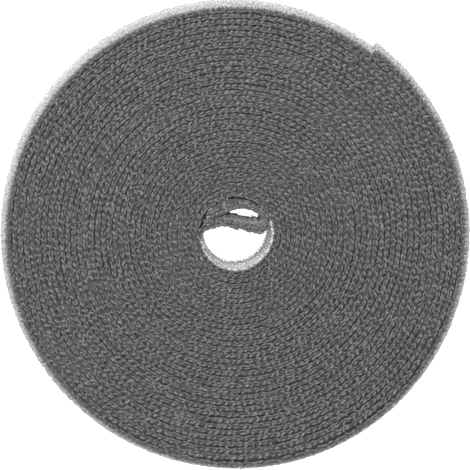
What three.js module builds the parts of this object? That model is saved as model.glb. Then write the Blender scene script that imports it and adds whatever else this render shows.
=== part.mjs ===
// A hook and loop cable tie roll: one long flexible strap, wound flat on itself with no core.
// The strap is a hook tape and a knitted loop fabric joined back to back. The hooks face the
// middle of the roll and the loops face out, so each turn's hooks grip the turn inside it.
// Millimetres, +Z up. The roll lies on the lower edges of its turns, at z = 0. Seen from
// above, +X is its right and +Y its top, and the strap runs inwards clockwise.
import * as THREE from "three";

// Driving sizes of the strap
const STRAP_WIDTH = 16;
const LOOP_FABRIC_THICKNESS = 0.5;
const HOOK_TAPE_THICKNESS = 0.5;

// Driving sizes of the roll
const WHOLE_TURNS = 23;
const TURN_GAP = 0.5; // clear air between one turn and the next
const EYE_RADIUS = 5.5; // from the middle of the eye to the hooks that line it on the left
const BULGE = 0.8; // how far the fold pushes the innermost turn out

// Driving sizes of the folded inner end, at the bond between the layers
const CORNER_RADIUS = 2; // the bend where the eye's lining turns inwards
const BAND_RADIUS = 11; // the long shallow arch across the eye
const FOLD_RADIUS = 1.45; // the hairpin where the band turns back
const FOLD_REACH = 4.63; // from the middle of the eye to the hairpin's
const COVER_RADIUS = 5.5; // the arch that leads back over the band
const END_LENGTH = 3.4; // the straight stretch up to the inner end

// Where things happen round the roll, counter-clockwise from +X
const FREE_END_ANGLE = THREE.MathUtils.degToRad(54);
const CORNER_ANGLE = THREE.MathUtils.degToRad(184);
const BULGE_ANGLE = THREE.MathUtils.degToRad(30);
const BULGE_REACH = THREE.MathUtils.degToRad(60);
const FOLD_ANGLE = THREE.MathUtils.degToRad(26);
const COVER_START = THREE.MathUtils.degToRad(34);
const COVER_END = THREE.MathUtils.degToRad(115);
const FULL_TURN = 2 * Math.PI;

// Steps of the path. Every turn has its steps at the same angles, so its flats lie parallel.
const STEPS_PER_TURN = 22;
const CORNER_STEPS = 6;
const BAND_STEPS = 8;
const FOLD_STEPS = 9;
const COVER_STEPS = 5;

// Sizes that follow
const strapThickness = LOOP_FABRIC_THICKNESS + HOOK_TAPE_THICKNESS;
const pitch = strapThickness + TURN_GAP;
const liningRadius = EYE_RADIUS + HOOK_TAPE_THICKNESS;
const turns = WHOLE_TURNS + 1 + (FREE_END_ANGLE - CORNER_ANGLE) / FULL_TURN;
const middleOfEye = new THREE.Vector2();

// A point at an angle on a circle
function onCircle(centre, radius, angle) {
  return new THREE.Vector2(
    centre.x + radius * Math.cos(angle),
    centre.y + radius * Math.sin(angle),
  );
}

// The wound turns, counted outwards from the corner: a spiral that grows by one pitch a turn.
// It bulges round the fold, by less with each turn, until the outermost turn is round.
function turnPoint(turn) {
  const angle = CORNER_ANGLE + FULL_TURN * turn;
  const past = THREE.MathUtils.euclideanModulo(angle - BULGE_ANGLE + Math.PI, FULL_TURN) - Math.PI;
  const share = Math.min(1, Math.abs(past) / BULGE_REACH);
  const bulge = BULGE * Math.cos((share * Math.PI) / 2) ** 2 * (1 - turn / turns);
  return onCircle(middleOfEye, liningRadius + pitch * turn + bulge, angle);
}

// Points along an arc, without the first
function arcPoints(centre, radius, from, to, steps) {
  return Array.from({ length: steps }, (_, i) =>
    onCircle(centre, radius, from + ((to - from) * (i + 1)) / steps),
  );
}

// The bond between the two layers, from the free outer end to the free inner end
function bondPath() {
  const wound = Math.floor(turns * STEPS_PER_TURN);
  const path = [turnPoint(turns)];
  for (let step = wound; step >= 0; step--) path.push(turnPoint(step / STEPS_PER_TURN));

  // The corner leaves the lining inwards, and the hairpin lies across the eye from it.
  const cornerCentre = onCircle(middleOfEye, liningRadius - CORNER_RADIUS, CORNER_ANGLE);
  const foldCentre = onCircle(middleOfEye, FOLD_REACH, FOLD_ANGLE);

  // The band's arc holds the corner's inside it and touches the fold's from outside. The
  // angle where it meets the corner follows from the sides of the triangle of centres.
  const across = cornerCentre.clone().sub(foldCentre);
  const toCorner = BAND_RADIUS - CORNER_RADIUS;
  const toFold = BAND_RADIUS + FOLD_RADIUS;
  const cosineAtCorner =
    (across.lengthSq() + toCorner ** 2 - toFold ** 2) / (2 * toCorner * across.length());
  const meeting = across.angle() - Math.acos(cosineAtCorner);
  const bandCentre = onCircle(cornerCentre, -toCorner, meeting);
  const bandEnd = foldCentre.clone().sub(bandCentre).angle();
  path.push(...arcPoints(cornerCentre, CORNER_RADIUS, CORNER_ANGLE, meeting, CORNER_STEPS));
  path.push(...arcPoints(bandCentre, BAND_RADIUS, meeting, bandEnd, BAND_STEPS));

  // The hairpin turns back counter-clockwise and the cover's arc holds it inside.
  const foldStart = bandEnd - Math.PI;
  path.push(...arcPoints(foldCentre, FOLD_RADIUS, foldStart, COVER_START, FOLD_STEPS));
  const coverCentre = onCircle(foldCentre, FOLD_RADIUS - COVER_RADIUS, COVER_START);
  path.push(...arcPoints(coverCentre, COVER_RADIUS, COVER_START, COVER_END, COVER_STEPS));
  path.push(onCircle(path[path.length - 1], END_LENGTH, COVER_END + Math.PI / 2));
  return path;
}

// The line that runs beside the path at a distance, to its right where that is positive.
// At each bend it is mitred, so that the layer keeps its thickness.
function beside(path, distance) {
  return path.map((point, i) => {
    const before = path[Math.max(i - 1, 0)];
    const after = path[Math.min(i + 1, path.length - 1)];
    const arriving = (i > 0 ? point.clone().sub(before) : after.clone().sub(point)).normalize();
    const leaving = (i < path.length - 1 ? after.clone().sub(point) : arriving.clone()).normalize();
    const along = arriving.clone().add(leaving).normalize();
    const mitre = distance / along.dot(arriving);
    return new THREE.Vector2(point.x + along.y * mitre, point.y - along.x * mitre);
  });
}

// A layer of the strap: the wall between two lines, as high as the strap is wide.
// Each step has four corners: left below, right below, right above and left above.
function layerGeometry(leftLine, rightLine) {
  const corners = [];
  leftLine.forEach((left, i) => {
    const right = rightLine[i];
    corners.push(left.x, left.y, 0, right.x, right.y, 0);
    corners.push(right.x, right.y, STRAP_WIDTH, left.x, left.y, STRAP_WIDTH);
  });
  const faces = [];
  for (let i = 0; i + 1 < leftLine.length; i++)
    for (let side = 0; side < 4; side++) {
      const a = 4 * i + side;
      const b = 4 * i + ((side + 1) % 4);
      faces.push(a, a + 4, b, b, a + 4, b + 4);
    }
  const end = 4 * (leftLine.length - 1);
  faces.push(0, 1, 2, 0, 2, 3);
  faces.push(end, end + 2, end + 1, end, end + 3, end + 2);
  const geometry = new THREE.BufferGeometry();
  geometry.setAttribute("position", new THREE.Float32BufferAttribute(corners, 3));
  geometry.setIndex(faces);
  geometry.computeVertexNormals();
  return geometry;
}

// The least air between stretches of the strap that aren't neighbours along it
function leastGap(path, lines) {
  const apart = 2 * FOLD_RADIUS + strapThickness;
  const run = [0];
  for (let i = 1; i < path.length; i++) run.push(run[i - 1] + path[i].distanceTo(path[i - 1]));
  const segment = new THREE.Line3();
  const nearest = new THREE.Vector3();
  let least = Infinity;
  const flat = lines.map((line) => line.map((p) => new THREE.Vector3(p.x, p.y, 0)));
  for (const points of flat)
    points.forEach((point, i) => {
      for (const others of flat)
        for (let j = 0; j + 1 < others.length; j++) {
          if (Math.min(Math.abs(run[j] - run[i]), Math.abs(run[j + 1] - run[i])) < apart) continue;
          segment.set(others[j], others[j + 1]);
          segment.closestPointToPoint(point, true, nearest);
          least = Math.min(least, nearest.distanceTo(point));
        }
    });
  return { least, length: run[run.length - 1] };
}

const path = bondPath();
// The origin is under the middle of the roll's box.
const outline = new THREE.Box2().setFromPoints(beside(path, -LOOP_FABRIC_THICKNESS));
const middle = outline.getCenter(new THREE.Vector2());
path.forEach((point) => point.sub(middle));

const loopFace = beside(path, -LOOP_FABRIC_THICKNESS);
const bond = beside(path, 0);
const hookFace = beside(path, HOOK_TAPE_THICKNESS);

const hookTape = new THREE.Mesh(
  layerGeometry(bond, hookFace),
  new THREE.MeshStandardMaterial({ color: 0xc4c5c6, roughness: 0.55, metalness: 0 }),
);
hookTape.name = "hook_tape";

const loopFabric = new THREE.Mesh(
  layerGeometry(loopFace, bond),
  new THREE.MeshStandardMaterial({ color: 0x5b5c5e, roughness: 0.95, metalness: 0 }),
);
loopFabric.name = "loop_fabric";

const measured = leastGap(path, [hookFace, loopFace]);
console.log("strap length " + measured.length.toFixed(0) + " mm");
console.log("least gap between turns " + measured.least.toFixed(3) + " mm");

const roll = new THREE.Group();
roll.name = "hook_and_loop_roll";
roll.add(loopFabric, hookTape);
export default roll;
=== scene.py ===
# %% [markdown]
# # A roll of hook and loop cable tie strap
#
# The object is one long strap, wound flat on itself with no core. The strap has two layers
# joined back to back: a hook tape whose hooks face the middle of the roll, and a knitted
# loop fabric that faces out and is gripped by the hooks of the turn that lies on it. From
# above only the strap's edges show, row upon row of small stitches. The hooks show where
# they line the eye, and the soft pile of loops shows on the rim.
#
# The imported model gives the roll's place and size. Everything here is worked out in
# millimetres, and turned into metres when it becomes a mesh.

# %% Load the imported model
import math

import bpy
import numpy as np
from mathutils import Matrix, Vector


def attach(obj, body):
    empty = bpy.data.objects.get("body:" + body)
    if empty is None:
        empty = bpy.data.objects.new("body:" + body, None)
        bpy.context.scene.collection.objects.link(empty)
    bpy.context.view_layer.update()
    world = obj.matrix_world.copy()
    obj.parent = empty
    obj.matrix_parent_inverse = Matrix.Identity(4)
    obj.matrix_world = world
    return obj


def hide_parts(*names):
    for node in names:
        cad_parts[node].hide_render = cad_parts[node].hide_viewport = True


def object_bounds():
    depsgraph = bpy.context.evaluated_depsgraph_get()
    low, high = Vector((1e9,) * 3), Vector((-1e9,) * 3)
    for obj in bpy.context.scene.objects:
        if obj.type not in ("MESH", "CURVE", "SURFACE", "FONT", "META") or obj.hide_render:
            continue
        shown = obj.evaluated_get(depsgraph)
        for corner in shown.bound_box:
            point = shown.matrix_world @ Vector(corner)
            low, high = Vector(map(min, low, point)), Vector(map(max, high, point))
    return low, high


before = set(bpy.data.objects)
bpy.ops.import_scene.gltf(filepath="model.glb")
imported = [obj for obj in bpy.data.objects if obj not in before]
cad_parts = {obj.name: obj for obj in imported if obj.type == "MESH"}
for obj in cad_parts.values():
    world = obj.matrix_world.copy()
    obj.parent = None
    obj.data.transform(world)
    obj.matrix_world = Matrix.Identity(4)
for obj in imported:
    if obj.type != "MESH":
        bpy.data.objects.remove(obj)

MM = 0.001
cad_box = [list(corner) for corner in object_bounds()]
strap_width = (cad_box[1][2] - cad_box[0][2]) / MM
roll_width = (cad_box[1][0] - cad_box[0][0]) / MM
print("strap width", round(strap_width, 2), "mm, roll", round(roll_width, 1), "mm across")

# %% [markdown]
# ## The sizes that drive the roll
#
# Each turn is as thick as the strap is when the hooks of one turn sit in the loops of the
# next. That is about a millimetre, and a little less near the eye, where the strap was
# wound more tightly. The sizes were read from the photograph, ring by ring, and are kept
# together here, because every later step follows from them.

# %% Sizes of the winding
FULL_TURN = 2 * math.pi
WHOLE_TURNS = 34
LINING_RADIUS = 6.25  # bond line of the strap that lines the eye, on the left
TIGHT_PITCH = 0.88  # from turn to turn near the eye
LOOSE_PITCH = 1.048  # and further out
EASE_TURN = 10.5  # about this turn the pitch changes from one to the other,
EASE_TURNS = 1.8  # over about as many turns
BULGE = 0.5  # how far the fold pushes the innermost turns out
BULGE_ANGLE = math.radians(50)
BULGE_REACH = math.radians(95)
BULGE_FADE_TURNS = 16.0
SAG = 0.85  # how far the loose outermost turn has slipped towards the lower edge
SAG_ANGLE = math.radians(-75)
SAG_REACH = math.radians(75)
SAG_FADE_TURNS = 1.2
TUCK = 0.3  # how far the outermost turn is pulled in beyond its free end
TUCK_ANGLE = math.radians(8)
TUCK_REACH = math.radians(55)
TUCK_FADE_TURNS = 0.8
FREE_END_ANGLE = math.radians(52.5)

# %% Sizes of the folded inner end
CORNER_ANGLE = math.radians(184)
CORNER_RADIUS = 2.0
BAND_RADIUS = 11.0
BAND_DIP = 0.42  # how far the band sinks towards the eye before it reaches the hairpin
FOLD_RADIUS = 1.45
FOLD_REACH = 4.88
FOLD_ANGLE = math.radians(26)
COVER_RADIUS = 5.35
COVER_START = math.radians(36)
COVER_END = math.radians(110)
END_LENGTH = 4.9  # the straight stretch up to the cut inner end

# %% Sizes of the strap, measured from the bond between its layers
GROUND_THICKNESS = 0.34  # of each layer, without its loops or hooks
HOOK_HEIGHT = 0.45
EYE_HOOK_HEIGHT = 0.52  # where nothing touches them
BAND_HOOK_HEIGHT = HOOK_HEIGHT / 2  # pressed down
RIM_PILE_HEIGHT = 0.9
BAND_PILE_HEIGHT = 0.72
FOLD_PILE_HEIGHT = 1.0
COVER_PILE_HEIGHT = 0.3
EDGE_MARGIN = 0.35  # the ground stops this far below the stitches that bind its edge
STITCH_PITCH = 1.12

# %% [markdown]
# ## The line that the strap follows
#
# Seen from above the strap is a curve: a spiral that steps in by one pitch a turn until it
# lines the eye, a corner that leaves the lining inwards, a long shallow band across the
# eye, a hairpin, and a cover that leads back over the band. A spiral is easiest as a
# function of the turn. Arcs carry it on, each touching the one before. It could be drawn
# by hand as a curve, but a formula keeps the turns even. The whole line is worked out as
# arrays, then stepped off evenly so that anything can be placed by its distance from the
# free outer end.

# %% Points and directions on a plane
ARC_STEPS = 80


def polar(radius, angle):
    """Points at these radii and angles: radius times the cosine, radius times the sine."""
    return np.stack([radius * np.cos(angle), radius * np.sin(angle)], axis=-1)


def heading(vector):
    """The angle of a flat vector."""
    return math.atan2(vector[1], vector[0])


def arc(centre, radius, start, end):
    """Points along a circle from one angle to another."""
    return centre + polar(radius, np.linspace(start, end, ARC_STEPS))


# %% The wound turns
COIL_STEPS_PER_TURN = 360
turns = WHOLE_TURNS + 1 + (FREE_END_ANGLE - CORNER_ANGLE) / FULL_TURN


def softly_above(turn):
    """Nothing well below the easing turn and the turns past it well above: the logarithm
    of one plus the exponential of the difference."""
    return EASE_TURNS * np.log1p(np.exp((turn - EASE_TURN) / EASE_TURNS))


def hump(turn, middle, reach):
    """One in a direction from the eye and nothing beyond its reach: a cosine squared."""
    past = (CORNER_ANGLE + FULL_TURN * turn - middle + math.pi) % FULL_TURN - math.pi
    return np.cos(np.clip(past / reach, -1, 1) * math.pi / 2) ** 2


def wound_radius(turn):
    """The lining's radius plus the tight pitch for each turn, plus the difference of the
    two pitches for each turn past the easing. To that come the bulge round the fold, which
    fades exponentially outwards, and at the rim the sag less the tuck, which fade inwards."""
    bulge = BULGE * hump(turn, BULGE_ANGLE, BULGE_REACH) * np.exp(-turn / BULGE_FADE_TURNS)
    sag = SAG * hump(turn, SAG_ANGLE, SAG_REACH) * np.exp((turn - turns) / SAG_FADE_TURNS)
    tuck = TUCK * hump(turn, TUCK_ANGLE, TUCK_REACH) * np.exp((turn - turns) / TUCK_FADE_TURNS)
    eased = (LOOSE_PITCH - TIGHT_PITCH) * softly_above(turn)
    return LINING_RADIUS + TIGHT_PITCH * turn + eased + bulge + sag - tuck


coil_turns = np.linspace(turns, 0, int(turns * COIL_STEPS_PER_TURN))
coil = polar(wound_radius(coil_turns), CORNER_ANGLE + FULL_TURN * coil_turns)
print("outermost bond line", wound_radius(turns).round(2), "mm from the middle of the eye")

# %% [markdown]
# The band's arc holds the corner's arc inside it and touches the hairpin's from outside.
# Both of those centres are known, so the angle at which band and corner meet comes from
# the triangle of the three centres, by the law of cosines. Soft strap doesn't keep a true
# arc: a squared sine of the squared share of the band's length lowers it near the hairpin.

# %% The folded end
corner_centre = polar(LINING_RADIUS - CORNER_RADIUS, CORNER_ANGLE)
fold_centre = polar(FOLD_REACH, FOLD_ANGLE)
apart = corner_centre - fold_centre
reach = np.linalg.norm(apart)
spare = BAND_RADIUS - CORNER_RADIUS
meeting_cosine = (reach**2 + spare**2 - (BAND_RADIUS + FOLD_RADIUS) ** 2) / (2 * spare * reach)
meeting = heading(apart) % FULL_TURN - math.acos(meeting_cosine)
band_centre = corner_centre - polar(spare, meeting)
band_end = heading(fold_centre - band_centre)
cover_centre = fold_centre - polar(COVER_RADIUS - FOLD_RADIUS, COVER_START)
corner = arc(corner_centre, CORNER_RADIUS, CORNER_ANGLE, meeting)
band = arc(band_centre, BAND_RADIUS, meeting, band_end)
band_share = np.linspace(0, 1, len(band))
band[:, 1] -= BAND_DIP * np.sin(math.pi * band_share**2) ** 2
fold = arc(fold_centre, FOLD_RADIUS, band_end - math.pi, COVER_START)
cover = arc(cover_centre, COVER_RADIUS, COVER_START, COVER_END)
inner_end = cover[-1:] + polar(END_LENGTH, COVER_END + math.pi / 2)
stretches = (coil, corner[1:], band[1:], fold[1:], cover[1:], inner_end)
curve = np.concatenate(stretches)
print("inner end at", inner_end[0].round(2), "mm")

# %% Step it off evenly and centre the roll's box on the origin
LINE_STEP = 0.2


def distances(points):
    """The distance along a line of points, at each point."""
    return np.concatenate([[0], np.cumsum(np.linalg.norm(np.diff(points, axis=0), axis=1))])


rough_run = distances(curve)
strap_length = rough_run[-1]
starts = np.cumsum([len(stretch) for stretch in stretches])[:-2] - 1
corner_begins, band_begins, fold_begins, cover_begins = rough_run[starts]
run = np.arange(0, strap_length, LINE_STEP)
line = np.stack([np.interp(run, rough_run, curve[:, axis]) for axis in (0, 1)], axis=-1)
forward = np.gradient(line, axis=0)
forward /= np.linalg.norm(forward, axis=1, keepdims=True)
outward = np.stack([-forward[:, 1], forward[:, 0]], axis=-1)
pile_tips = line + (GROUND_THICKNESS + RIM_PILE_HEIGHT) * outward
eye_middle = -(pile_tips.min(axis=0) + pile_tips.max(axis=0)) / 2
line += eye_middle
print("strap", round(strap_length), "mm long, middle of the eye", eye_middle.round(3))


def turn_at(distance):
    """How many turns from the corner a distance lies, and nothing past the corner."""
    return np.interp(distance, rough_run[: len(coil)], coil_turns)


def distance_at(turn):
    """The distance from the outer end at which a turn is reached."""
    return np.interp(-turn, -coil_turns, rough_run[: len(coil)])


# %% [markdown]
# Nothing lies on the loops of the outermost turn, nor on the hooks of the innermost one,
# which lines the eye from behind the hairpin to the corner. There a soft strap swells, and
# its loops or hooks show. Small functions of the distance along the strap say where that
# is, so that every later piece can ask them.

# %% Where a side of the strap is open to view
EYE_SHARE = 0.54  # of a turn, from the corner back to behind the hairpin
rim_ends = distance_at(turns - 1)
lining_begins = distance_at(1)
eye_begins = distance_at(EYE_SHARE)
print("rim", round(rim_ends), "mm, eye", round(corner_begins - eye_begins), "mm of strap")


def on_rim(distance):
    """Whether the loops are open to view on the outermost turn."""
    return distance < rim_ends


def in_eye(distance):
    """Whether the hooks are open to view in the eye."""
    return (distance > eye_begins) & (distance < corner_begins)


# %% How much an edge swells where nothing lies against it
SWELLING_SHARE = 1 / 3  # of the outermost turn, until the pressed free end has swollen
FREE_END_SPREAD = 0.6
RIM_SPREAD = 0.95
LINING_SPREAD = 1.15  # and the cover's
BAND_SPREAD = 1.55


def thickness_at(distance):
    """From one turn to the next at a distance along the strap."""
    turn = turn_at(distance)
    return wound_radius(turn) - wound_radius(turn - 1)


def swelling(distance):
    """Straight lines between the free end, the rim, the lining, the corner, the band, the
    hairpin and the middle of the hairpin."""
    mid_fold = (fold_begins + cover_begins) / 2
    places = [0, rim_ends * SWELLING_SHARE, rim_ends, lining_begins]
    places += [corner_begins, band_begins, fold_begins, mid_fold]
    sizes = [FREE_END_SPREAD, RIM_SPREAD, RIM_SPREAD, LINING_SPREAD]
    sizes += [LINING_SPREAD, BAND_SPREAD, BAND_SPREAD, LINING_SPREAD]
    return np.interp(distance, places, sizes)


def spread_at(distance, side_is_open):
    """How far an edge spreads over its layer, against its size between loose turns. It
    is squeezed where the turns are tight, and swells where its own side lies open."""
    return np.where(side_is_open, swelling(distance), thickness_at(distance) / LOOSE_PITCH)


# %% Anywhere on the line
def on_line(distance):
    """The place, the forward direction and the direction out of the roll at distances along
    the strap, between the stepped points. Directions are flat vectors of length one."""
    place = np.stack([np.interp(distance, run, line[:, axis]) for axis in (0, 1)], axis=-1)
    ahead = np.stack([np.interp(distance, run, forward[:, axis]) for axis in (0, 1)], axis=-1)
    ahead /= np.linalg.norm(ahead, axis=-1, keepdims=True)
    return place, ahead, np.stack([-ahead[..., 1], ahead[..., 0]], axis=-1)


# %% [markdown]
# ## Turning arrays into pieces
#
# Every visible piece ends in the same way: an array of corners, an array of triangles, a UV map
# and a tone for each corner, which lets one material give each stitch its own shade. foreach_set
# writes whole arrays into the mesh at once.

# %% A piece from arrays
BAKE_MAP = "OFBake"


def make_piece(name, node, slot, corners, triangles, material, tone, uv=None):
    """A smooth mesh object in metres, riding on the roll and standing for a CAD node."""
    mesh = bpy.data.meshes.new(name)
    mesh.vertices.add(len(corners))
    mesh.vertices.foreach_set("co", (corners * MM).astype(np.float32).ravel())
    mesh.loops.add(triangles.size)
    mesh.loops.foreach_set("vertex_index", triangles.astype(np.int32).ravel())
    mesh.polygons.add(len(triangles))
    mesh.polygons.foreach_set("loop_start", np.arange(0, triangles.size, 3, dtype=np.int32))
    mesh.polygons.foreach_set("use_smooth", np.ones(len(triangles), bool))
    mesh.update(calc_edges=True)
    shades = mesh.attributes.new("tone", "FLOAT", "POINT")
    shades.data.foreach_set("value", tone.astype(np.float32))
    if uv is not None:
        bake_map = mesh.uv_layers.new(name=BAKE_MAP)
        bake_map.data.foreach_set("uv", uv.astype(np.float32).ravel())
    mesh.materials.append(material)
    piece = bpy.data.objects.new(name, mesh)
    bpy.context.scene.collection.objects.link(piece)
    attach(piece, "root")
    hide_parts(node)
    print(name, len(corners), "corners", len(triangles), "triangles")


# %% [markdown]
# ## Materials as arithmetic
#
# A material is a small sum of patterns. Its nodes could be wired one by one in the editor,
# but then its formula is hard to see. The class below lets the sum be written as one:
# adding, taking and multiplying wired values adds the Math nodes, and any other node comes
# from one method that takes its type, its settings and what is plugged into it.

# %% Wired values
class Wire:
    """A value or colour on its way through a material's nodes."""

    def __init__(self, finish, socket):
        self.finish = finish
        self.socket = socket

    def maths(self, operation, first, second):
        """One Math node on two wires or values."""
        return self.finish.node("ShaderNodeMath", {"operation": operation}, {0: first, 1: second})

    def __add__(self, other):
        return self.maths("ADD", self, other)

    def __radd__(self, other):
        return self.maths("ADD", other, self)

    def __sub__(self, other):
        return self.maths("SUBTRACT", self, other)

    def __rsub__(self, other):
        return self.maths("SUBTRACT", other, self)

    def __mul__(self, other):
        return self.maths("MULTIPLY", self, other)

    def __rmul__(self, other):
        return self.maths("MULTIPLY", other, self)

    def at_most(self, ceiling):
        """The value itself, or the ceiling where it is higher."""
        return self.maths("MINIMUM", self, ceiling)


class Finish:
    """A material whose Principled shader takes numbers directly and patterns as wires."""

    def __init__(self, name, **constants):
        self.material = bpy.data.materials.new(name)
        self.material.use_nodes = True
        self.tree = self.material.node_tree
        self.shader = self.tree.nodes["Principled BSDF"]
        for socket, value in constants.items():
            self.shader.inputs[socket.replace("_", " ")].default_value = value

    def node(self, kind, settings=None, inputs=None, output=0):
        """Adds a node, sets it up, plugs in wires or values and gives one output as a wire."""
        made = self.tree.nodes.new(kind)
        for key, value in (settings or {}).items():
            setattr(made, key, value)
        for key, value in (inputs or {}).items():
            if isinstance(value, Wire):
                self.tree.links.new(value.socket, made.inputs[key])
            else:
                made.inputs[key].default_value = value
        return Wire(self, made.outputs[output])

    def noise(self, scale):
        """Noise of a scale, in the object's own coordinates."""
        place = self.node("ShaderNodeTexCoord", output="Object")
        return self.node("ShaderNodeTexNoise", inputs={"Vector": place, "Scale": scale})

    def tone(self):
        """What make_piece wrote on each corner."""
        return self.node("ShaderNodeAttribute", {"attribute_name": "tone"}, output="Fac")

    def between(self, dark, light, share):
        """A colour that goes from dark to light as the share goes from 0 to 1. A Mix node
        has a set of sockets for each kind of value: 6, 7 and 2 are those for colours."""
        inputs = {0: share, 6: (*dark, 1.0), 7: (*light, 1.0)}
        return self.node("ShaderNodeMix", {"data_type": "RGBA"}, inputs, output=2)

    def colour(self, wire):
        """Wires a colour to the shader."""
        self.tree.links.new(wire.socket, self.shader.inputs["Base Color"])

    def bump(self, wire, height):
        """Wires a pattern to the shader as a relief of this height."""
        made = self.node("ShaderNodeBump", inputs={"Height": wire, "Distance": height})
        self.tree.links.new(made.socket, self.shader.inputs["Normal"])


# %% [markdown]
# ## The yarns and the hooks
#
# The loop fabric and both selvages are nylon yarn: matt, a little fuzzy, and uneven in tone
# from stitch to stitch. Most of it is dark grey. A picture could be laid on it, but it would
# have seams on so many small shapes. So the tone written on each corner says how pale its
# yarn is, and noise at three sizes makes it uneven: fibres, flecks and patches.

# %% Yarn, from dark grey to pale
YARN_DARK = (0.035, 0.036, 0.037)
YARN_PALE = (0.86, 0.865, 0.87)
FIBRE_SCALE = 9000.0
FLECK_SCALE = 4400.0
PATCH_SCALE = 160.0
FIBRE_GAIN = 0.6
FLECK_GAIN = 7.4
PATCH_GAIN = 0.2
GRAIN_OFFSET = 2.99  # brings the middle of the sum to a little over one
GRAIN_CEILING = 1.25  # the yarn has more dark gaps than bright fibres
STITCH_RELIEF = 0.06 * MM
GROUND_RELIEF = 0.03 * MM


def yarn(name, relief):
    """The tone on the mesh times the grain. The grain is the three noises, each times its
    gain, less the offset, and at most the ceiling."""
    finish = Finish(name, Roughness=0.85, Sheen_Weight=0.1)
    fibres = finish.noise(FIBRE_SCALE)
    flecks = finish.noise(FLECK_SCALE)
    patches = finish.noise(PATCH_SCALE)
    grain = FIBRE_GAIN * fibres + FLECK_GAIN * flecks + PATCH_GAIN * patches - GRAIN_OFFSET
    share = finish.tone() * grain.at_most(GRAIN_CEILING)
    finish.colour(finish.between(YARN_DARK, YARN_PALE, share))
    finish.bump(fibres + flecks, relief)
    return finish.material


stitch_yarn = yarn("stitch_yarn", STITCH_RELIEF)
ground_yarn = yarn("ground_yarn", GROUND_RELIEF)
print("yarn for", stitch_yarn.name, "and", ground_yarn.name)

# %% [markdown]
# The pile is the same yarn in loops so fine that they blur together. A velvet's pale bloom
# comes from fibres that catch light from the side, and the shader's sheen stands for it.
# The rim has much of it. Inside the fold little light comes from the side, and it has less.

# %% Soft pile
PILE_FLECKS = 0.4
RIM_SHEEN = 0.8
FOLD_SHEEN = 0.1


def soft_pile(name, sheen):
    """The tone on the mesh, more or less by faint flecks."""
    finish = Finish(name, Roughness=0.9, Sheen_Weight=sheen, Sheen_Roughness=0.3)
    flecks = PILE_FLECKS * finish.noise(FLECK_SCALE)
    share = finish.tone() * (flecks + (1 - PILE_FLECKS / 2))
    finish.colour(finish.between(YARN_DARK, YARN_PALE, share))
    return finish.material


pile_yarn = soft_pile("pile_yarn", RIM_SHEEN)
fold_yarn = soft_pile("fold_yarn", FOLD_SHEEN)
print("soft pile for", pile_yarn.name, "and", fold_yarn.name)

# %% [markdown]
# The hooks are cut from clear nylon line. Glass-like shaders are slow and speckle, and the
# cut hooks look milky anyway, so they are simply pale, with a soft shine.

# %% Pale nylon hooks
NYLON_DARK = (0.56, 0.565, 0.57)
NYLON_PALE = (0.95, 0.955, 0.96)
STREAK_SCALE = FIBRE_SCALE / 3
STREAK_SHARE = 0.2
HOOK_RELIEF = 0.02 * MM

nylon = Finish("hook_nylon", Roughness=0.6, Specular_IOR_Level=0.2)
streaks = nylon.noise(STREAK_SCALE)
paleness = (1 - STREAK_SHARE) * nylon.tone() + STREAK_SHARE * streaks
nylon.colour(nylon.between(NYLON_DARK, NYLON_PALE, paleness))
nylon.bump(streaks, HOOK_RELIEF)
hook_nylon = nylon.material
print("nylon for the hooks:", len(nylon.tree.nodes), "nodes")

# %% [markdown]
# ## The ground of each layer
#
# Under the stitches, the loops and the hooks, each layer is a flat ribbon. Its section is
# a small closed profile, a tall rectangle with cut corners, which is carried along the
# bond line. The corners of one section join those of the next. A curve with a bevel profile
# would do as much with few clicks, but here the section also has to change along the way.

# %% Faces of a profile carried along a path
def strip_triangles(rows, columns):
    """Two triangles for each square of a grid whose last column joins its first."""
    row, column = np.meshgrid(np.arange(rows - 1), np.arange(columns), indexing="ij")
    here = row * columns + column
    beside = row * columns + (column + 1) % columns
    lower = np.stack([here, beside, here + columns], axis=-1)
    upper = np.stack([beside, beside + columns, here + columns], axis=-1)
    return np.concatenate([lower.reshape(-1, 3), upper.reshape(-1, 3)])


def cap_triangles(first, count, flipped):
    """A fan over one section's ring, which closes that end."""
    fan = np.array([[first, first + k, first + k + 1] for k in range(1, count - 1)])
    return fan[:, ::-1] if flipped else fan


def closed_tube_triangles(rows, columns):
    """The strip and a cap at each end."""
    ends = [cap_triangles(0, columns, True), cap_triangles((rows - 1) * columns, columns, False)]
    return np.concatenate([strip_triangles(rows, columns), *ends])


def facing_out(corners, triangles):
    """The triangles turned so that the volume they enclose is positive."""
    a, b, c = (corners[triangles[:, k]] for k in range(3))
    volume = np.einsum("ij,ij->i", a, np.cross(b, c)).sum()
    return triangles if volume > 0 else triangles[:, ::-1]


# %% A ribbon along the strap
CORNER_CUT = 0.08
SECTION_STEP = 1.2
END_SECTION_STEP = 0.3
cut_rectangle_shares = np.array([(0, 0), (1, 0), (1, 0), (1, 1), (1, 1), (0, 1), (0, 1), (0, 0)])
cut_rectangle_cuts = np.array([(1, 0), (-1, 0), (0, 1), (0, -1), (-1, 0), (1, 0), (0, -1), (0, 1)])


def ribbon(distance, inner, outer, low, high):
    """A rectangle with cut corners between two distances from the bond and two heights,
    each of which may change along the strap. Every corner is the lower bound plus its
    share of the span, plus its share of the cut."""
    place, _, out = on_line(distance)
    bounds = np.broadcast_arrays(inner, outer, low, high, distance)
    start = np.stack([bounds[0], bounds[2]], axis=-1)[:, None, :]
    span = np.stack([bounds[1] - bounds[0], bounds[3] - bounds[2]], axis=-1)[:, None, :]
    section = start + span * cut_rectangle_shares + CORNER_CUT * cut_rectangle_cuts
    flat = place[:, None, :] + out[:, None, :] * section[..., :1]
    corners = np.concatenate([flat, section[..., 1:]], axis=-1).reshape(-1, 3)
    triangles = closed_tube_triangles(len(distance), len(cut_rectangle_shares))
    return corners, facing_out(corners, triangles)


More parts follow.
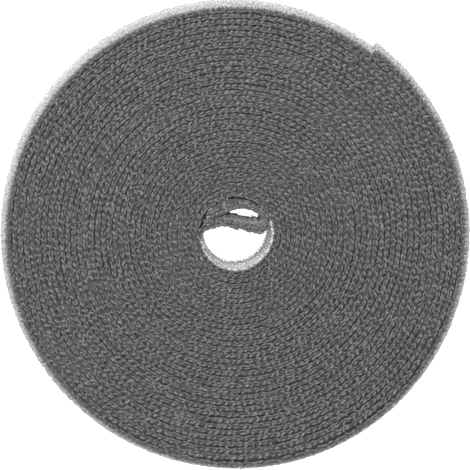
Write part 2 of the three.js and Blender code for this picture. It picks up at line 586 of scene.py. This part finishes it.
def along(begin, end):
    """Distances to put sections at: closer together on the folded inner end."""
    wound_part = np.arange(begin, min(end, lining_begins), SECTION_STEP)
    end_part = np.arange(max(begin, lining_begins), end, END_SECTION_STEP)
    return np.concatenate([wound_part, end_part])


# %% [markdown]
# Both grounds are dark where yarn and the next turn cover them: painted shade of the hollows
# between the turns. The hook layer is pale where it lines the eye, partly the pale tape that shows
# between its hooks and partly painted light that lifts the deep eye. The loop layer is a little
# paler on the rim and in the fold, where it shows through the pile; in the fold the extra paleness
# is painted light in its dim pocket.

# %% The two grounds
# Ground tones: the eye's is pale tape plus painted light, the fold's paleness is painted light,
# the covered one is painted shade
EYE_GROUND = 0.88
RIM_GROUND = 0.15
FOLD_GROUND_PAINTED_LIGHT = 0.35
SHADED_GROUND = 0.06
BOND_GAP = 0.01  # from the bond to either ground
section_at = along(0.0, strap_length)
ground_low, ground_high = EDGE_MARGIN, strap_width - EDGE_MARGIN
corner_count = len(cut_rectangle_shares)
loop_layer = ribbon(section_at, BOND_GAP, GROUND_THICKNESS, ground_low, ground_high)
hook_layer = ribbon(section_at, -GROUND_THICKNESS, -BOND_GAP, ground_low, ground_high)
folded_ground_shading = np.where(section_at > band_begins, FOLD_GROUND_PAINTED_LIGHT, SHADED_GROUND)
loop_tone = np.repeat(np.where(on_rim(section_at), RIM_GROUND, folded_ground_shading), corner_count)
hook_tone = np.repeat(np.where(in_eye(section_at), EYE_GROUND, SHADED_GROUND), corner_count)
make_piece("loop_ground", "loop_fabric", "loop_fabric", *loop_layer, ground_yarn, loop_tone)
make_piece("hook_ground", "hook_tape", "hook_tape", *hook_layer, pile_yarn, hook_tone)

# %% [markdown]
# Between two turns, the loops of one grip the hooks of the other. From above that is a dark
# ragged hollow between the rows of stitches. Real loops and hooks there would be millions
# of faces that nobody sees, so a third ribbon with ragged upper and lower edges fills it.

# %% The nap between the turns
NAP_OVERLAP = 0.05  # into the ground on either side
NAP_DEPTH = 0.75
NAP_TUFTS = 0.14  # how much its height varies from tuft to tuft
NAP_PATCHES = 0.16  # and over patches a few times longer
PATCH_SECTIONS = 12
# A near-black tone: painted shade of the hollow between the turns
NAP_PAINTED_SHADE = 0.043
NAP_PAINTED_SHADE_SPREAD = 0.013


def ragged(count, seed, width=3):
    """Random steps, each the sum of as many neighbours as the width, with a spread of one."""
    steps = np.random.default_rng(seed).normal(size=count + width - 1)
    return np.convolve(steps, np.ones(width), mode="valid") / math.sqrt(width)


def nap_depth(count, seed):
    """How deep below the stitches the nap ends: a mean, plus tufts, plus patches."""
    tufts = NAP_TUFTS * ragged(count, seed)
    return NAP_DEPTH + tufts + NAP_PATCHES * ragged(count, seed + 1, PATCH_SECTIONS)


nap_at = along(0.0, lining_begins)
nap_inner = GROUND_THICKNESS - NAP_OVERLAP - thickness_at(nap_at)
nap_low = nap_depth(len(nap_at), 5)
nap_high = strap_width - nap_depth(len(nap_at), 15)
nap_layer = ribbon(nap_at, nap_inner, NAP_OVERLAP - GROUND_THICKNESS, nap_low, nap_high)
nap_shade = NAP_PAINTED_SHADE + NAP_PAINTED_SHADE_SPREAD * ragged(len(nap_at), 7)
nap_tone = np.repeat(np.clip(nap_shade, 0, 1), corner_count)
make_piece("loop_nap", "loop_fabric", "loop_fabric", *nap_layer, ground_yarn, nap_tone)

# %% [markdown]
# Between the lining and the cover two hook sides face each other, with room between them. Loose
# fluff from the fabric fills it, from the cover's ground to the tips of the lining's hooks. Its
# very dark tone is painted shade of that narrow room. Its far side is found by measuring from each
# of its sections to the nearest point of the cover, which is one array of all the distances.

# %% Fluff caught between hooks
CAUGHT_FROM, CAUGHT_TO = 0.88, 0.6  # turns from the corner, where the cover lies inside
CAUGHT_DEPTH_SHARE = 0.5  # of the nap's depth below the edges
# Very dark: painted shade of the narrow room between lining and cover
CAUGHT_PAINTED_SHADE = 0.07
CAUGHT_PAINTED_SHADE_SPREAD = 0.3
caught_at = np.arange(distance_at(CAUGHT_FROM), distance_at(CAUGHT_TO), END_SECTION_STEP)
cover_line = line[run > cover_begins]
room = np.linalg.norm(on_line(caught_at)[0][:, None] - cover_line[None], axis=-1).min(axis=1)
caught_low = CAUGHT_DEPTH_SHARE * nap_depth(len(caught_at), 25)
caught_high = strap_width - CAUGHT_DEPTH_SHARE * nap_depth(len(caught_at), 35)
caught_inner = GROUND_THICKNESS - NAP_OVERLAP - room
caught_outer = np.full(len(caught_at), -GROUND_THICKNESS - HOOK_HEIGHT)
caught = ribbon(caught_at, caught_inner, caught_outer, caught_low, caught_high)
caught_shade = CAUGHT_PAINTED_SHADE * (1 + CAUGHT_PAINTED_SHADE_SPREAD * ragged(len(caught_at), 27))
caught_tone = np.repeat(np.clip(caught_shade, 0, 1), corner_count)
make_piece("caught_fluff", "hook_tape", "hook_tape", *caught, ground_yarn, caught_tone)
print("room between lining and cover", room.min().round(2), "to", room.max().round(2), "mm")

# %% [markdown]
# ## Small shapes in large numbers
#
# A stitch, a hook and a loop of pile are all short bent tubes. One tube is worked out with
# few faces, along a spine in its own upright plane, and then planted thousands of times.
# Instances could share one mesh, but here each copy has its own size, tone and tile of the
# map, and the piece has to end as one plain mesh. Planting is one sum over arrays: the
# place of each copy, plus its three directions times the tube's three coordinates.

# %% One bent tube
def bent_tube(spine, half_width, half_height, sides):
    """Rings round a spine in the x and z plane, each square to the spine, with flat ends.
    Also gives each triangle's corners as shares along and round the tube."""
    ahead = np.gradient(spine, axis=0)
    ahead /= np.linalg.norm(ahead, axis=1, keepdims=True)
    turn = np.linspace(0, FULL_TURN, sides, endpoint=False)
    rise = half_height[:, None] * np.cos(turn)
    side = half_width[:, None] * np.sin(turn)
    x = spine[:, :1] - ahead[:, 1:] * rise
    z = spine[:, 1:] + ahead[:, :1] * rise
    corners = np.stack([x, side, z], axis=-1).reshape(-1, 3)
    triangles = facing_out(corners, closed_tube_triangles(len(spine), sides))
    lengthwise = (triangles // sides) / (len(spine) - 1)
    around = (triangles % sides) / sides
    around = np.where(around.max(axis=1, keepdims=True) - around > 0.5, around + 1, around)
    return corners, triangles, np.stack([lengthwise, around], axis=-1)


# %% Planting copies
TILE_FILL_SHARE = 0.86


def plant(shape, places, x_axes, y_axes, z_axes):
    """Copies of a shape: place plus x times the first direction, y times the second and z
    times the third. Each copy has its own small tile of the bake's map."""
    corners, triangles, shares = shape
    axes = np.stack([x_axes, y_axes, z_axes], axis=1)
    planted = places[:, None, :] + np.einsum("cx,nxk->nck", corners, axes)
    copy = np.arange(len(places))
    first = copy[:, None, None] * len(corners)
    tiles = math.ceil(math.sqrt(len(places)))
    tile = np.stack([copy % tiles, copy // tiles], axis=-1)
    margin = (1 - TILE_FILL_SHARE) / 2
    uv = (tile[:, None, None, :] + margin + TILE_FILL_SHARE * shares[None]) / tiles
    return planted.reshape(-1, 3), (first + triangles).reshape(-1, 3), uv


def flat_to_space(flat, height=0.0):
    """Flat vectors with a height."""
    return np.concatenate([flat, np.broadcast_to(height, flat.shape[:-1])[..., None]], axis=-1)


def turned_by(angle, ahead, out):
    """The strap's forward and outward directions turned by an angle: forward times the
    cosine plus outward times the sine, and the direction at right angles to that."""
    cosine, sine = np.cos(angle), np.sin(angle)
    return ahead * cosine + out * sine, out * cosine - ahead * sine


def on_edge(edge, depth):
    """The height that lies this deep below the upper edge, or above the lower one, and the
    direction out of that edge."""
    up = 1.0 if edge == "above" else -1.0
    return (strap_width if up > 0 else 0.0) - up * depth, up


# %% [markdown]
# ## The selvage stitches
#
# Each layer's edge is bound by stitches 1.12 mm apart, about 4,500 along one edge.
# Those of the loop fabric are plump ovals, set at a slant, with a dark gap after each one.
# Those of the hook tape lie long and low and overlap like the strands of a cord. Real
# stitches are never quite alike, so each has its own size, slant and tone, and where the
# turns press on each other they are less regular than on the rim and the folded end.

# %% The shape of a stitch
STITCH_SIDES = 5
stitch_spine = np.array([[-0.5, -0.22], [-0.2, 0.0], [0.2, 0.0], [0.5, -0.22]])
stitch_swell = np.array([0.3, 1.0, 1.0, 0.3])
stitch_shape = bent_tube(stitch_spine, stitch_swell / 2, stitch_swell / 2, STITCH_SIDES)
print("a stitch has", len(stitch_shape[1]), "triangles")

# %% A row of stitches
STITCH_SHIFT = 0.14  # along the strap
STITCH_STRAY = 0.06  # across it
STITCH_SINK = 0.09
STITCH_TONE_SPREAD = 0.14
OPEN_SLANT_SPREAD, PRESSED_SLANT_SPREAD = 3, 18  # degrees
OPEN_SIZE_SPREAD, PRESSED_SIZE_SPREAD = 0.06, 0.12


def stitch_row(name, node, offset, size, slant, is_open, tone_at, edge, seed):
    """One stitch every pitch along the strap, on its upper or lower edge. The spine's ends
    sink, so that each stitch arches up out of the edge. Its long direction is the strap's
    direction turned by the slant."""
    random = np.random.default_rng(seed)
    distance = np.arange(STITCH_PITCH / 2, strap_length - STITCH_PITCH / 2, STITCH_PITCH)
    count = len(distance)
    distance = distance + random.normal(0, STITCH_SHIFT, count)
    place, ahead, out = on_line(distance)
    swollen = is_open(distance)
    slant_spread = np.where(swollen, OPEN_SLANT_SPREAD, PRESSED_SLANT_SPREAD)
    size_spread = np.where(swollen, OPEN_SIZE_SPREAD, PRESSED_SIZE_SPREAD)
    turned = np.radians(slant + random.normal(0, slant_spread))[:, None]
    own = 1 + random.normal(0, 1, (count, 3)) * size_spread[:, None]
    sunk = np.abs(random.normal(0, STITCH_SINK, count))
    level, up = on_edge(edge, size[2] / 2 * own[:, 2] + sunk)
    spread = spread_at(distance, swollen)
    aside = (offset + random.normal(0, STITCH_STRAY, count)) * spread
    lengthwise, crosswise = turned_by(turned, ahead, out)
    x_axes = flat_to_space(lengthwise) * size[0] * own[:, :1]
    y_axes = flat_to_space(crosswise) * (size[1] * own[:, 1] * spread * up)[:, None]
    z_axes = np.array([0, 0, up]) * size[2] * own[:, 2:]
    places = flat_to_space(place + out * aside[:, None], level)
    corners, triangles, uv = plant(stitch_shape, places, x_axes, y_axes, z_axes)
    shade = tone_at(distance) * (1 + random.normal(0, STITCH_TONE_SPREAD, count))
    tones = np.repeat(np.clip(shade, 0, 1), len(stitch_shape[0]))
    make_piece(name, node, node, corners, triangles, stitch_yarn, tones, uv)


# %% Four rows of stitches
LOOP_STITCH = (0.98, 0.46, 0.5)  # long, wide and high
HOOK_STITCH = (1.3, 0.38, 0.5)
LOOP_ROW, HOOK_ROW = 0.18, -0.24  # from the bond, outwards
LOOP_SLANT, HOOK_SLANT = 24, -9  # degrees
LOOP_EDGE_TONE = 0.189
HOOK_EDGE_TONE = 0.149
RIM_EDGE_TONE = 0.16
FOLD_EDGE_TONE = 0.13
BAND_EDGE_TONE = 0.17
# Round the eye: partly pale hooks, partly painted light from the bright eye
EYE_EDGE_LIT_TONE = 0.75


def loops_open(distance):
    """Whether nothing lies on the loops: on the rim and on the folded end."""
    return on_rim(distance) | (distance > corner_begins)


def hooks_open(distance):
    """Whether no loops grip the hooks: on the innermost turn and on the folded end."""
    return distance > lining_begins


def loop_edge_tone(distance):
    """Grey, and darker on the rim and on the folded end."""
    folded = np.where(distance > corner_begins, FOLD_EDGE_TONE, LOOP_EDGE_TONE)
    return np.where(on_rim(distance), RIM_EDGE_TONE, folded)


def hook_edge_tone(distance):
    """Grey, paler on the folded end, and pale round the eye: partly the pale hooks that stand up
    to the edge, partly painted light from the bright eye."""
    folded = np.where(distance > corner_begins, BAND_EDGE_TONE, HOOK_EDGE_TONE)
    return np.where(in_eye(distance), EYE_EDGE_LIT_TONE, folded)


loop_row = (LOOP_ROW, LOOP_STITCH, LOOP_SLANT, loops_open, loop_edge_tone)
hook_row = (HOOK_ROW, HOOK_STITCH, HOOK_SLANT, hooks_open, hook_edge_tone)
for edge, seed in (("above", 10), ("below", 20)):
    stitch_row("loop_selvage_" + edge, "loop_fabric", *loop_row, edge, seed)
    stitch_row("hook_selvage_" + edge, "hook_tape", *hook_row, edge, seed + 1)

# %% [markdown]
# The fluff over the cover is matted into tufts, which look like stitches that follow no
# row. A rough bump could stand for them, but seen from the side it would be flat, so the
# stitch's own shape is planted at random.

# %% Tufts on the caught fluff
TUFTS_PER_MM = 3.8
TUFT = (0.7, 0.34, 0.4)  # long, wide and high
TUFT_ACROSS = (0.1, 0.95)  # shares of the way across the fluff
TUFT_DEPTH = (0.25, 0.55)  # of its middle, below the edge
TUFT_TONE = (0.05, 0.34)
TUFT_TURN_SPREAD = 0.6  # radians


def tufts(edge, seed):
    """Copies of the stitch at random distances along the fluff and random shares of the
    way across it, turned from the strap's direction by random angles."""
    random = np.random.default_rng(seed)
    count = int((caught_at[-1] - caught_at[0]) * TUFTS_PER_MM)
    distance = random.uniform(caught_at[0], caught_at[-1], count)
    place, ahead, out = on_line(distance)
    near = np.interp(distance, caught_at, caught_outer)
    far = np.interp(distance, caught_at, caught_inner)
    aside = near + (far - near) * random.uniform(*TUFT_ACROSS, count)
    turned = random.normal(0, TUFT_TURN_SPREAD, count)[:, None]
    level, up = on_edge(edge, random.uniform(*TUFT_DEPTH, count))
    lengthwise, crosswise = turned_by(turned, ahead, out)
    x_axes = flat_to_space(lengthwise) * TUFT[0]
    y_axes = flat_to_space(crosswise) * TUFT[1] * up
    z_axes = np.broadcast_to(np.array([0, 0, up * TUFT[2]]), (count, 3))
    places = flat_to_space(place + out * aside[:, None], level)
    corners, triangles, uv = plant(stitch_shape, places, x_axes, y_axes, z_axes)
    tones = np.repeat(random.uniform(*TUFT_TONE, count), len(stitch_shape[0]))
    name = "caught_tufts_" + edge
    make_piece(name, "hook_tape", "hook_tape", corners, triangles, stitch_yarn, tones, uv)


tufts("above", 70)
tufts("below", 71)

# %% [markdown]
# ## Fluff on the edges
#
# Yarn ends, loops and cut hooks stick out of the edges everywhere and blur the rows. Each
# fibre is a needle: a point, two rings of three corners and a point, which is as few faces
# as a closed curved hair can have. Blender's hair could grow there too, but hair isn't a
# mesh, so needles are strewn by the thousand over both edges of both layers.

# %% One fibre
FIBRE_LENGTH = 0.45
FIBRE_THICKNESS = 0.08
FIBRE_ENDS_SINK = 0.25


def needle(length, thickness, sink):
    """A point, two rings of three corners and a point along x. The rings lie a fifth of
    the length from the middle, and the points are sunk."""
    third = np.arange(3) * FULL_TURN / 3
    ring = np.stack([np.zeros(3), np.cos(third), np.sin(third)], axis=-1) * thickness / 2
    points = [np.array([[side * length / 2, 0, -sink * length]]) for side in (-1, 1)]
    rings = [ring + np.array([side * length / 5, 0, 0]) for side in (-1, 1)]
    corners = np.concatenate([points[0], rings[0], rings[1], points[1]])
    now, after = np.arange(3), (np.arange(3) + 1) % 3
    first = np.stack([np.zeros(3, int), now + 1, after + 1], axis=-1)
    lower = np.stack([now + 1, now + 4, after + 1], axis=-1)
    upper = np.stack([after + 1, now + 4, after + 4], axis=-1)
    last = np.stack([now + 4, np.full(3, 7), after + 4], axis=-1)
    triangles = facing_out(corners, np.concatenate([first, lower, upper, last]))
    lengthwise = corners[triangles][..., 0] / length + 0.5
    around = (triangles - 1) % 3 / 3
    return corners, triangles, np.stack([lengthwise, around], axis=-1)


fibre_shape = needle(FIBRE_LENGTH, FIBRE_THICKNESS, FIBRE_ENDS_SINK)
print("a fibre has", len(fibre_shape[1]), "triangles")

# %% Fibres strewn over an edge
FIBRES_PER_MM = 2.4
FLUFF_HALF_WIDTH = 0.26
LOOP_FLUFF, HOOK_FLUFF = 0.22, -0.2  # the middle of it, from the bond, outwards
LOOP_FLUFF_TONE, HOOK_FLUFF_TONE = 0.16, 0.14
FLUFF_TONE_SPREAD = 0.95
FLUFF_END_MARGIN = 0.2
FIBRE_SIZE_SPREAD = 0.25
FIBRE_TILT_SPREAD = 0.25
FIBRE_DEPTH, FIBRE_DEPTH_SPREAD = 0.1, 0.1
FIBRE_DEPTHS = (0.02, 0.4)  # least and most


def fluff(name, node, offset, tone, edge, seed):
    """Fibres at random distances along the strap and across it, turned any way, most of
    them near the level of the stitches. Their tones spread widely round the middle one."""
    random = np.random.default_rng(seed)
    count = int(strap_length * FIBRES_PER_MM)
    distance = random.uniform(FLUFF_END_MARGIN, strap_length - FLUFF_END_MARGIN, count)
    place, ahead, out = on_line(distance)
    turned = random.uniform(0, FULL_TURN, count)[:, None]
    own = np.exp(random.normal(0, FIBRE_SIZE_SPREAD, (count, 1)))
    depth = np.clip(random.normal(FIBRE_DEPTH, FIBRE_DEPTH_SPREAD, count), *FIBRE_DEPTHS)
    level, up = on_edge(edge, depth)
    aside = offset + random.uniform(-FLUFF_HALF_WIDTH, FLUFF_HALF_WIDTH, count)
    lengthwise, crosswise = turned_by(turned, ahead, out)
    x_axes = flat_to_space(lengthwise, random.normal(0, FIBRE_TILT_SPREAD, count))
    y_axes = flat_to_space(crosswise) * up
    z_axes = np.broadcast_to(np.array([0, 0, up]), (count, 3))
    places = flat_to_space(place + out * aside[:, None], level)
    corners, triangles, uv = plant(fibre_shape, places, x_axes * own, y_axes * own, z_axes * own)
    corners[:, 2] = np.clip(corners[:, 2], 0.0, strap_width)
    shade = tone * random.uniform(1 - FLUFF_TONE_SPREAD, 1 + FLUFF_TONE_SPREAD, count)
    tones = np.repeat(shade, len(fibre_shape[0]))
    make_piece(name, node, node, corners, triangles, stitch_yarn, tones, uv)


for edge, seed in (("above", 50), ("below", 60)):
    fluff("loop_fluff_" + edge, "loop_fabric", LOOP_FLUFF, LOOP_FLUFF_TONE, edge, seed)
    fluff("hook_fluff_" + edge, "hook_tape", HOOK_FLUFF, HOOK_FLUFF_TONE, edge, seed + 1)

# %% [markdown]
# ## The hooks
#
# Hooks stand on the inner side of the strap, in rows that run along it. Each is a short
# length of line that rises and curls over. Curves with a bevel would draw them well one
# by one, but there are thousands, so a coarse bent tube of four sides is planted. Only
# those that nothing covers are made: on the lining of the eye, and on the inner end, where
# the strap is folded across it. Little light reaches down the eye, and the photograph's
# lining is as pale there as at its top, so a hook is made paler the deeper it sits.

# %% One hook
HOOK_SIDES = 4
hook_spine = np.array([[0.0, -0.1], [0.02, 0.45], [0.12, 0.86], [0.34, 0.92], [0.5, 0.6]])
hook_thickness = np.array([0.17, 0.16, 0.15, 0.13, 0.08])
hook_shape = bent_tube(hook_spine, hook_thickness, hook_thickness, HOOK_SIDES)
print("a hook has", len(hook_shape[1]), "triangles")

# %% Where rows and columns cross on a side of the strap
LAST_ROW_SLACK = 0.01  # keeps a last row that falls on the margin


def planting_grid(begin, end, pitch, margin, row_pitch):
    """The distance and the height of each crossing: columns a pitch apart, and rows a row
    pitch apart from one margin to the other."""
    stations = np.arange(begin, end, pitch)
    levels = np.arange(margin, strap_width - margin + LAST_ROW_SLACK, row_pitch)
    distance, level = np.meshgrid(stations, levels)
    return distance.ravel(), level.ravel()


# %% Rows of hooks
HOOK_PITCH = 0.62
HOOK_ROW_PITCH = 0.72
HOOK_SPREAD = 0.32  # how far it curls over
HOOK_TOP_TONE = 0.05  # beside the upper edge
HOOK_TONE_SPREAD = 0.07
HOOK_SHIFT, HOOK_ROW_STRAY = 0.06, 0.05
HOOK_YAW, HOOK_YAW_SPREAD = 0.45, 0.3  # radians
HOOK_LEAN_SPREAD = 0.12
HOOK_SIZE_SPREAD = 0.06


def hook_rows(name, begin, end, margin, height, seed):
    """Rows along the strap, every other one curling the other way. A hook's rise is the
    inward direction, tilted a little, and its curl lies across that. Its tone falls in
    proportion to its height, from one at the table to the top tone."""
    random = np.random.default_rng(seed)
    distance, level = planting_grid(begin, end, HOOK_PITCH, margin, HOOK_ROW_PITCH)
    row = np.rint((level - margin) / HOOK_ROW_PITCH).astype(int)
    count = len(distance)
    distance = np.clip(distance + random.normal(0, HOOK_SHIFT, count), begin, end)
    place, ahead, out = on_line(distance)
    yaw = random.normal(HOOK_YAW, HOOK_YAW_SPREAD, count) + math.pi * (row % 2)
    lean = flat_to_space(ahead * np.cos(yaw)[:, None], np.sin(yaw))
    rise = flat_to_space(-out) + random.normal(0, HOOK_LEAN_SPREAD, (count, 1)) * lean
    rise /= np.linalg.norm(rise, axis=1, keepdims=True)
    side = np.cross(rise, lean)
    side /= np.linalg.norm(side, axis=1, keepdims=True)
    lean = np.cross(side, rise)
    tall = height * (1 + random.normal(0, HOOK_SIZE_SPREAD, (count, 1)))
    strayed = level + random.normal(0, HOOK_ROW_STRAY, count)
    places = flat_to_space(place - out * GROUND_THICKNESS, strayed)
    x_axes, y_axes = lean * HOOK_SPREAD, side * HOOK_SPREAD
    corners, triangles, uv = plant(hook_shape, places, x_axes, y_axes, rise * tall)
    shade = 1 - (1 - HOOK_TOP_TONE) * level / strap_width
    shade = shade + random.normal(0, HOOK_TONE_SPREAD, count)
    tones = np.repeat(np.clip(shade, 0, 1), len(hook_shape[0]))
    make_piece(name, "hook_tape", "hook_tape", corners, triangles, hook_nylon, tones, uv)


# %% The hooks that show
HOOK_MARGIN = 0.4
BAND_HOOK_MARGIN = 1.2  # where the strap was pressed and the outer rows lie flat
SHADED_HOOK_MARGIN = 2.4
HOOK_END_MARGIN = 0.5
TUCKED_FROM, TUCKED_TO = 0.87, 0.77  # turns from the corner where the cover holds them up
tucked_from, tucked_to = distance_at(TUCKED_FROM), distance_at(TUCKED_TO)
hook_rows("far_hooks", lining_begins, tucked_from, SHADED_HOOK_MARGIN, HOOK_HEIGHT, 31)
hook_rows("tucked_hooks", tucked_from, tucked_to, HOOK_MARGIN, HOOK_HEIGHT, 35)
hook_rows("shaded_hooks", tucked_to, eye_begins, SHADED_HOOK_MARGIN, HOOK_HEIGHT, 36)
hook_rows("eye_hooks", eye_begins, corner_begins, HOOK_MARGIN, EYE_HOOK_HEIGHT, 32)
hook_rows("band_hooks", corner_begins, fold_begins, BAND_HOOK_MARGIN, BAND_HOOK_HEIGHT, 33)
hooks_end = strap_length - HOOK_END_MARGIN
hook_rows("cover_hooks", fold_begins, hooks_end, HOOK_MARGIN, HOOK_HEIGHT, 34)

# %% [markdown]
# ## The pile of loops
#
# The loop side is a lawn of fine soft loops, finer than the hooks that grip it. It shows all round
# the rim, and inside the fold of the inner end. It is the hair system's kind of work, but hair
# isn't a mesh, so a loop with the fewest faces is planted on a grid that is shaken until no row
# can be seen. Beside an edge the loops are shorter, because the stitches hold them down. Their
# tone is painted light: darker beside the edges, where the lamps reach, and paler towards the
# middle of the strap's width, which lies deep and dim.

# %% One loop of pile
PILE_SIDES = 3
pile_spine = np.array([[-0.45, -0.15], [-0.3, 0.85], [0.3, 0.85], [0.45, -0.15]])
pile_thickness = np.full(4, 0.26)
pile_shape = bent_tube(pile_spine, pile_thickness, pile_thickness, PILE_SIDES)
print("a loop has", len(pile_shape[1]), "triangles")

# %% A lawn of loops
PILE_PITCH = 0.46
PILE_SPREAD = 0.5  # how wide a loop is against its shape
PILE_TAPER = 4.0  # it has its full height this far from an edge
PRESSED_SHARE = 0.3  # of its height, which it has lost where the rim sags
TUCKED_EDGE_SHARE = 0.5  # of its height, which it gains at the edge where the rim is tucked
PILE_SHIFT, PILE_ROW_STRAY = 0.14, 0.12
PILE_LEAST_DEPTH = 0.15
PILE_LEAN_SPREAD = 0.3
PILE_HEIGHT_SPREAD = 0.1
PILE_HEIGHTS = (0.5, 1.2)  # least and most, as shares
PILE_WIDTH_SPREAD = 0.15
PILE_TONE_SPREAD = 0.05


def pressed(distance):
    """What is left of the pile's height: less where the roll sags at its rim."""
    return 1 - PRESSED_SHARE * hump(turn_at(distance), SAG_ANGLE, SAG_REACH)


def pile(name, begin, end, margin, height, edge_share, shading, seed):
    """Loops on a shaken grid, each turned any way about its own rise, which is outwards and leans
    a little. Height grows in proportion to the distance from an edge, from the edge's share to the
    whole, and so does the tone, which is painted light: dark at the lit edges, pale in the dim
    middle."""
    material, tone, lit_edge_tone_share, painted_light_taper = shading
    random = np.random.default_rng(seed)
    distance, level = planting_grid(begin, end, PILE_PITCH, margin, PILE_PITCH)
    count = len(distance)
    shaken = np.clip(distance + random.normal(0, PILE_SHIFT, count), begin, end)
    place, ahead, out = on_line(shaken)
    yaw = random.uniform(0, FULL_TURN, count)
    lean = flat_to_space(ahead * np.cos(yaw)[:, None], np.sin(yaw))
    rise = flat_to_space(out) + random.normal(0, PILE_LEAN_SPREAD, (count, 1)) * lean
    from_edge = np.minimum(level, strap_width - level)
    tucked = hump(turn_at(distance), TUCK_ANGLE, TUCK_REACH)
    least = edge_share + TUCKED_EDGE_SHARE * tucked
    grown = least + (1 - least) * np.clip(from_edge / PILE_TAPER, 0, 1)
    own = np.clip(1 + random.normal(0, PILE_HEIGHT_SPREAD, (count, 1)), *PILE_HEIGHTS)
    tall = height * (grown * pressed(distance))[:, None] * own
    strayed = level + random.normal(0, PILE_ROW_STRAY, count)
    strayed = np.clip(strayed, PILE_LEAST_DEPTH, strap_width - PILE_LEAST_DEPTH)
    places = flat_to_space(place + out * GROUND_THICKNESS, strayed)
    side = np.cross(flat_to_space(out), lean)
    spread = PILE_SPREAD * np.exp(random.normal(0, PILE_WIDTH_SPREAD, (count, 1)))
    corners, triangles, uv = plant(pile_shape, places, lean * spread, side * spread, rise * tall)
    corners[:, 2] = np.clip(corners[:, 2], 0.0, strap_width)
    painted_light_share = lit_edge_tone_share + (1 - lit_edge_tone_share) * np.clip(from_edge / painted_light_taper, 0, 1)
    shade = random.normal(tone, PILE_TONE_SPREAD, count) * painted_light_share
    tones = np.repeat(np.clip(shade, 0, 1), len(pile_shape[0]))
    make_piece(name, "loop_fabric", "loop_fabric", corners, triangles, material, tones, uv)


# %% The lawns that show
RIM_PILE_MARGIN, FOLD_PILE_MARGIN = 0.3, 0.35
RIM_EDGE_SHARE, FOLD_EDGE_SHARE = 0.35, 0.85  # of its height, beside an edge
FREE_END_MARGIN, CUT_END_MARGIN = 0.2, 0.3
# The material, the tone, how much of it a loop beside an edge has, and how far from an edge a loop
# has all of it. The last two paint light: lit edges darker, the dim middle paler. The fold's tone
# is set high as painted light in its dim pocket.
RIM_SHADING = (pile_yarn, 0.65, 0.74, 6.0)
FOLD_SHADING = (fold_yarn, 0.95, 0.14, 4.0)
half_rim = rim_ends / 2
on_the_rim = (RIM_PILE_MARGIN, RIM_PILE_HEIGHT, RIM_EDGE_SHARE, RIM_SHADING)
pile("rim_pile_first", FREE_END_MARGIN, half_rim, *on_the_rim, 41)
pile("rim_pile_second", half_rim, rim_ends, *on_the_rim, 42)
folded_piles = (
    ("band_pile", band_begins, fold_begins, BAND_PILE_HEIGHT, 43),
    ("fold_pile", fold_begins, cover_begins, FOLD_PILE_HEIGHT, 45),
    ("cover_pile", cover_begins, strap_length - CUT_END_MARGIN, COVER_PILE_HEIGHT, 44),
)
for name, begin, end, height, seed in folded_piles:
    pile(name, begin, end, FOLD_PILE_MARGIN, height, FOLD_EDGE_SHARE, FOLD_SHADING, seed)

# %% [markdown]
# ## Floor, light and camera
#
# The roll lies on a bright white table, which shows through the eye and takes no shadow.
# A table that only reflects would turn grey round the roll, so this one also glows.

# %% White table
FLOOR_HALF = 1.5
WHITE = (1.0, 1.0, 1.0, 1.0)
signs = ((-1, -1), (1, -1), (1, 1), (-1, 1))
floor_corners = [(x * FLOOR_HALF, y * FLOOR_HALF, 0) for x, y in signs]
floor_mesh = bpy.data.meshes.new("table_top")
floor_mesh.from_pydata(floor_corners, [], [(0, 1, 2, 3)])
table_finish = Finish(
    "table_white",
    Base_Color=(0.9, 0.9, 0.9, 1.0),
    Roughness=0.9,
    Emission_Color=WHITE,
    Emission_Strength=1.0,
)
floor_mesh.materials.append(table_finish.material)
floor = bpy.data.objects.new("table_top", floor_mesh)
bpy.context.scene.collection.objects.link(floor)
print("table", 2 * FLOOR_HALF, "m wide")

# %% [markdown]
# The photograph has the even light of a shop picture, brighter from the top left. A white
# world gives the evenness, and three square lamps high up give soft shadows between the
# stitches. A sun would draw them hard.

# %% Soft light
WORLD_STRENGTH = 0.45
world = bpy.data.worlds.new("studio")
world.use_nodes = True
background = world.node_tree.nodes["Background"]
background.inputs["Color"].default_value = WHITE
background.inputs["Strength"].default_value = WORLD_STRENGTH
bpy.context.scene.world = world


def soft_light(name, place, size, power):
    """A square lamp that looks at the roll."""
    data = bpy.data.lights.new(name, "AREA")
    data.size = size
    data.energy = power
    lamp = bpy.data.objects.new(name, data)
    lamp.location = place
    lamp.rotation_euler = Vector(place).to_track_quat("Z", "Y").to_euler()
    bpy.context.scene.collection.objects.link(lamp)
    print(name, power, "watts")


soft_light("key", (-0.5, 0.75, 0.75), size=0.35, power=8.0)
soft_light("fill", (0.7, -0.4, 0.8), size=0.6, power=2.5)
soft_light("overhead", (-0.07, 0.17, 1.2), size=0.2, power=5.0)

# %% [markdown]
# The camera looks down from a long way off, tipped a little towards the top left, so that
# the rim shows on that side and the lining of the eye on the other. A camera can be aimed
# with a Track To constraint, but three directions worked out in order say the same and
# leave nothing to solve. The long lens keeps the picture's width on the roll's upper face.

# %% Camera
FRAME_WIDTH = 83.2  # what the picture's width spans at the roll's upper face
CAMERA_DISTANCE = 2.0  # in metres
SENSOR_WIDTH = 36.0
TIP = math.radians(4.75)
TIP_TOWARDS = (-0.34, 0.94)

bpy.context.scene.view_settings.view_transform = "Standard"
sideways = [share * math.sin(TIP) for share in TIP_TOWARDS]
view_from = Vector((*sideways, math.cos(TIP))).normalized()
picture_right = Vector((0, 1, 0)).cross(view_from).normalized()
picture_up = view_from.cross(picture_right)
aim = Vector((eye_middle[0] * MM, eye_middle[1] * MM, cad_box[1][2]))
camera_data = bpy.data.cameras.new("camera")
camera_data.sensor_width = SENSOR_WIDTH
camera_data.lens = SENSOR_WIDTH * CAMERA_DISTANCE / (FRAME_WIDTH * MM)
camera = bpy.data.objects.new("camera", camera_data)
camera.location = aim + view_from * CAMERA_DISTANCE
camera.rotation_euler = Matrix((picture_right, picture_up, view_from)).transposed().to_euler()
bpy.context.scene.collection.objects.link(camera)
bpy.context.scene.camera = camera
print("lens", round(camera_data.lens), "mm")
